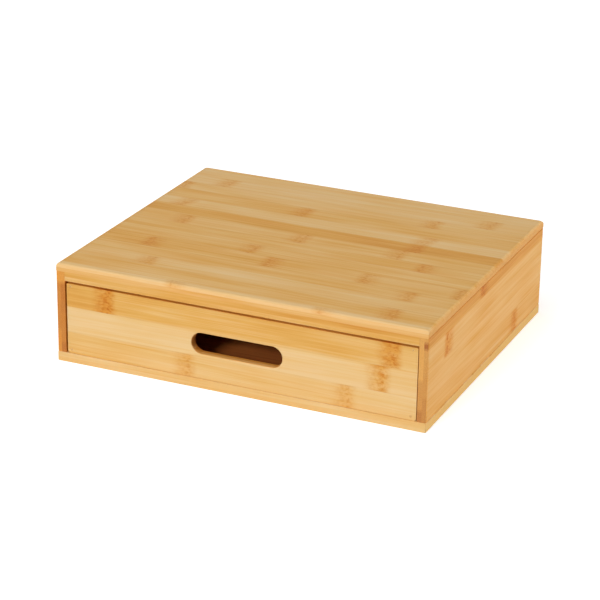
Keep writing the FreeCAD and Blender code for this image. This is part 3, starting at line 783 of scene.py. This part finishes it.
def quarter(y, radius, steps, towards, out):
    # stations of a rounded edge: from the face at y, towards +1 or -1, to the straight wall
    rows = []
    for step in range(steps + 1):
        angle = step / steps * math.pi / 2
        rows.append((y + towards * radius * mm * (1 - math.cos(angle)),
                     out * radius * mm * (1 - math.sin(angle))))
    return rows


def cornerRadii(head, footLeft=None, footRight=None):
    # the same all round where only one is given
    return {"headLeft": head * mm, "headRight": head * mm,
            "footLeft": (footLeft or head) * mm, "footRight": (footRight or head) * mm}


drawerFront = {
    "name": "drawerFront", "node": "drawer_front", "grain": "xzy", "shown": "low",
    # edgeWarmth and gapShadeTone paint shade on the faces turned up or down: the top and bottom
    # edges seen through the gaps, and the slot's upper and lower walls
    "warmth": 0.03, "edgeWarmth": 0.2, "gapShadeTone": 0.32, "endDepth": 0.5, "seam": 0.2,
    "footRound": 2.5, "footRoundRight": 1.6, "headRound": 0.9, "edgeRound": (0.15, 4),
    "slotLength": 76.0, "slotHeight": 17.2, "slotDrop": 0.6, "slotEdge": (0.9, 5),
    "footDrop": 0.2, "headDrop": 0.8, "rightOut": 0.6,
    "strips": [   # from the lower edge up
        strip(18.1, 0.34, (-41, 92), lean=-0.06, mark=-0.65),
        strip(21, 0.14, (119.5,), mark=-1),
        strip(19.7, 0.63, (-110, 127.5), lean=-0.09, mark=-1.35),
    ],
}
drawerBack = {
    "name": "drawerBack", "node": "drawer_back", "grain": "xzy", "shown": "high",
    "warmth": 0.06, "edgeWarmth": 0.2, "endDepth": 0.5, "seam": 0.4,
    "footRound": 0.4, "footRoundRight": 0.4, "headRound": 0.4, "edgeRound": (0.4, 4),
    "headDrop": 0.8,
}
drawerJoinery = {   # mm
    "bradHole": 1.05,    # radius
    "bradDepth": 0.8,
    "bradInset": 3.0,    # from the head and the foot
    "bradSide": 3.5,
    "grooveDepth": 3.0, "grooveHeight": 3.3, "grooveLift": 5.0,
    "grooveEnd": 4.0,    # from each end of the front and the back
    "cutterRound": 0.1,
    "sanded": (0.4, 2),
}


def makeDrawerEnd(board, joinery):
    # the drawer's front or back: an outline, a slot, brad holes on its outer face, a groove inside
    low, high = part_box(board["node"])
    fitLow, fitHigh = fittedBox(board)
    outer, inner = (low.y, high.y) if board["shown"] == "low" else (high.y, low.y)
    inward = 1 if inner > outer else -1
    bm = bmesh.new()
    outlineOuter, outlineInner = addWall(
        bm, (fitLow.x, fitLow.z), (fitHigh.x, fitHigh.z),
        cornerRadii(board["headRound"], board["footRound"], board["footRoundRight"]),
        quarter(outer, *board["edgeRound"], inward, -1) + [(inner, 0)])
    outerHoles, innerHoles = [], []
    slotReach = None
    if "slotLength" in board:
        middle = (low.z + high.z) / 2 - board["slotDrop"] * mm
        halfLength, halfHeight = board["slotLength"] / 2 * mm, board["slotHeight"] / 2 * mm
        slotOuter, slotInner = addWall(
            bm, (-halfLength, middle - halfHeight), (halfLength, middle + halfHeight),
            cornerRadii(board["slotHeight"] / 2),
            quarter(outer, *board["slotEdge"], inward, 1)
            + quarter(inner, *board["slotEdge"], -inward, 1)[::-1])
        outerHoles += slotOuter
        innerHoles += slotInner
        rim = board["slotEdge"][0] * mm
        slotReach = (axisOf["x"], 0, halfLength + rim), (axisOf["z"], middle, halfHeight + rim)

    radius = joinery["bradHole"] * mm
    for x in (low.x + joinery["bradSide"] * mm, high.x - joinery["bradSide"] * mm):
        for z in (low.z + joinery["bradInset"] * mm, high.z - joinery["bradInset"] * mm):
            mouth, bed = addWall(bm, (x - radius, z - radius), (x + radius, z + radius),
                                 cornerRadii(joinery["bradHole"]),
                                 [(outer, 0), (outer + inward * joinery["bradDepth"] * mm, 0)])
            bmesh.ops.triangle_fill(bm, use_beauty=True, edges=bed)
            outerHoles += mouth
    end, foot = joinery["grooveEnd"] * mm, low.z + joinery["grooveLift"] * mm
    head = foot + joinery["grooveHeight"] * mm
    mouth, bed = addWall(bm, (low.x + end, foot), (high.x - end, head),
                         cornerRadii(joinery["cutterRound"]),
                         [(inner, 0), (inner - inward * joinery["grooveDepth"] * mm, 0)])
    bmesh.ops.triangle_fill(bm, use_beauty=True, edges=bed)
    innerHoles += mouth
    bmesh.ops.triangle_fill(bm, use_beauty=True, edges=outlineOuter + outerHoles)
    bmesh.ops.triangle_fill(bm, use_beauty=True, edges=outlineInner + innerHoles)
    bmesh.ops.recalc_face_normals(bm, faces=bm.faces[:])
    bmesh.ops.dissolve_limit(bm, angle_limit=math.radians(flatAngle), verts=bm.verts[:],
                             edges=bm.edges[:])
    layStrips(bm, board, fitLow, fitHigh, slotReach)
    finishPiece(bm, board)


makeDrawerEnd(drawerFront, drawerJoinery)
makeDrawerEnd(drawerBack, drawerJoinery)

drawerSides = [
    {"name": "drawerLeftSide", "node": "drawer_left_side", "grain": "yzx", "shown": "low",
     "warmth": 0.06, "edgeWarmth": 0.2, "endDepth": 0.5, "seam": 0.4, "headDrop": 0.8},
    {"name": "drawerRightSide", "node": "drawer_right_side", "grain": "yzx", "shown": "high",
     "warmth": 0.06, "edgeWarmth": 0.2, "endDepth": 0.5, "seam": 0.4, "headDrop": 0.8},
]


def makeDrawerSide(board, joinery):
    # the board's section, with its groove, drawn out to the board's length
    low, high = fittedBox(board)
    outer, inner = (low.x, high.x) if board["shown"] == "low" else (high.x, low.x)
    bed = inner + (joinery["grooveDepth"] * mm if outer > inner else -joinery["grooveDepth"] * mm)
    foot = low.z + joinery["grooveLift"] * mm
    head = foot + joinery["grooveHeight"] * mm
    section = [(outer, low.z), (inner, low.z), (inner, foot), (bed, foot), (bed, head),
               (inner, head), (inner, high.z), (outer, high.z)]
    bm = bmesh.new()
    start = bm.faces.new([bm.verts.new((x, low.y, z)) for x, z in section])
    drawn = bmesh.ops.extrude_face_region(bm, geom=[start], use_keep_orig=True)
    drawnVerts = [part for part in drawn["geom"] if isinstance(part, bmesh.types.BMVert)]
    bmesh.ops.translate(bm, vec=(0, high.y - low.y, 0), verts=drawnVerts)
    topEdges = edgesOn(bm, low, high, "head", "left") + edgesOn(bm, low, high, "head", "right")
    bevelEdges(bm, topEdges, *joinery["sanded"])
    layStrips(bm, board, low, high)
    finishPiece(bm, board)


for board in drawerSides:
    makeDrawerSide(board, drawerJoinery)


drawerFloor = {
    "name": "drawerFloor", "node": "drawer_floor", "grain": "xyz", "shown": "high",
    "warmth": 0.0, "endDepth": 0.5, "seam": 0.0,
    "strips": [strip(300, 0.5)], "backStrips": [strip(300, 0.6)],   # one veneer each, no glue lines
}


def makeDrawerFloor(board):
    bm, low, high = startBoard(board)
    layStrips(bm, board, low, high)
    finishPiece(bm, board, thinPly)


makeDrawerFloor(drawerFloor)
print("drawer made")


studio = {
    "ambient": 0.15,
    "paper": "EDEDED",
    "floorSize": 12,
    "floorLift": (0.62, 1.0),   # how far the paper is raised towards white for the camera alone:
    "liftReach": (0.35, 0.9),   # near the caddy, where it keeps its shadow, and from 0.9 m out
    "lamps": [                  # degrees right of the drawer's front and up, metres, watts
        {"name": "keySoftbox", "azimuth": -8, "elevation": 26, "distance": 4.0,
         "width": 1.2, "height": 0.6, "power": 86.5},
        {"name": "overheadSoftbox", "azimuth": -10, "elevation": 74, "distance": 3.0,
         "width": 2.0, "height": 2.0, "power": 26},
        {"name": "rightSoftbox", "azimuth": 118, "elevation": 6, "distance": 4.0,
         "width": 2.0, "height": 0.8, "power": 90},
        {"name": "leftSoftbox", "azimuth": 242, "elevation": 6, "distance": 4.0,
         "width": 2.0, "height": 0.8, "power": 52},
    ],
}


def makeWorld(settings):
    # even white light; camera, gloss and transmission rays meet the plain white background
    world = bpy.data.worlds.new("studio")
    bpy.context.scene.world = world
    world.use_nodes = True
    tree = world.node_tree
    tree.nodes.clear()
    rays = addNode(tree, "ShaderNodeLightPath").outputs
    seen = rays["Is Camera Ray"]
    for kind in ("Is Glossy Ray", "Is Transmission Ray"):
        seen = addNode(tree, "ShaderNodeMath", {0: seen, 1: rays[kind]},
                       operation="MAXIMUM").outputs[0]
    strength = addNode(tree, "ShaderNodeMix", {"Factor": seen, 2: settings["ambient"], 3: 1.0},
                       data_type="FLOAT").outputs[0]
    background = addNode(tree, "ShaderNodeBackground",
                         {"Color": (1, 1, 1, 1), "Strength": strength})
    addNode(tree, "ShaderNodeOutputWorld", {"Surface": background.outputs[0]})


def whitePaper(name, settings):
    # matt paper, a shade off white: it takes the caddy's shadow, and the camera sees it lifted to
    # white further out
    material, tree = newMaterial(name)
    rays = addNode(tree, "ShaderNodeLightPath").outputs
    paper = addNode(tree, "ShaderNodeBsdfDiffuse", {"Color": fromHex(settings["paper"])})
    place = addNode(tree, "ShaderNodeTexCoord").outputs["Object"]
    away = addNode(tree, "ShaderNodeVectorMath", {0: place}, operation="LENGTH").outputs["Value"]
    near, far = settings["liftReach"]
    low, high = settings["floorLift"]
    rise = addNode(tree, "ShaderNodeMapRange",
                   {"Value": away, "From Min": near, "From Max": far,
                    "To Min": low, "To Max": high},
                   interpolation_type="SMOOTHSTEP").outputs["Result"]
    lift = addNode(tree, "ShaderNodeMath", {0: rays["Is Camera Ray"], 1: rise},
                   operation="MULTIPLY").outputs[0]
    glow = addNode(tree, "ShaderNodeEmission", {"Color": (1, 1, 1, 1), "Strength": lift})
    both = addNode(tree, "ShaderNodeAddShader", {0: paper.outputs[0], 1: glow.outputs[0]})
    addNode(tree, "ShaderNodeOutputMaterial", {"Surface": both.outputs[0]})
    return material


def makeFloor(settings):
    bm = bmesh.new()
    bmesh.ops.create_grid(bm, x_segments=1, y_segments=1, size=settings["floorSize"] / 2)
    mesh = bpy.data.meshes.new("floor")
    bm.to_mesh(mesh)
    bm.free()
    mesh.materials.append(whitePaper("matt white paper sweep", settings))
    floor = bpy.data.objects.new("floor", mesh)
    bpy.context.scene.collection.objects.link(floor)


def makeLamp(lamp):
    outward = outwardFrom(lamp["azimuth"], lamp["elevation"])
    data = bpy.data.lights.new(lamp["name"], "AREA")
    data.shape = "RECTANGLE"
    data.size = lamp["width"]
    data.size_y = lamp["height"]
    data.energy = lamp["power"]
    softbox = bpy.data.objects.new(lamp["name"], data)
    softbox.location = outward * lamp["distance"]
    softbox.rotation_euler = (-outward).to_track_quat("-Z", "Y").to_euler()
    bpy.context.scene.collection.objects.link(softbox)


makeWorld(studio)
makeFloor(studio)
for lamp in studio["lamps"]:
    makeLamp(lamp)
bpy.context.scene.view_settings.view_transform = "Standard"
print("floor and light made")
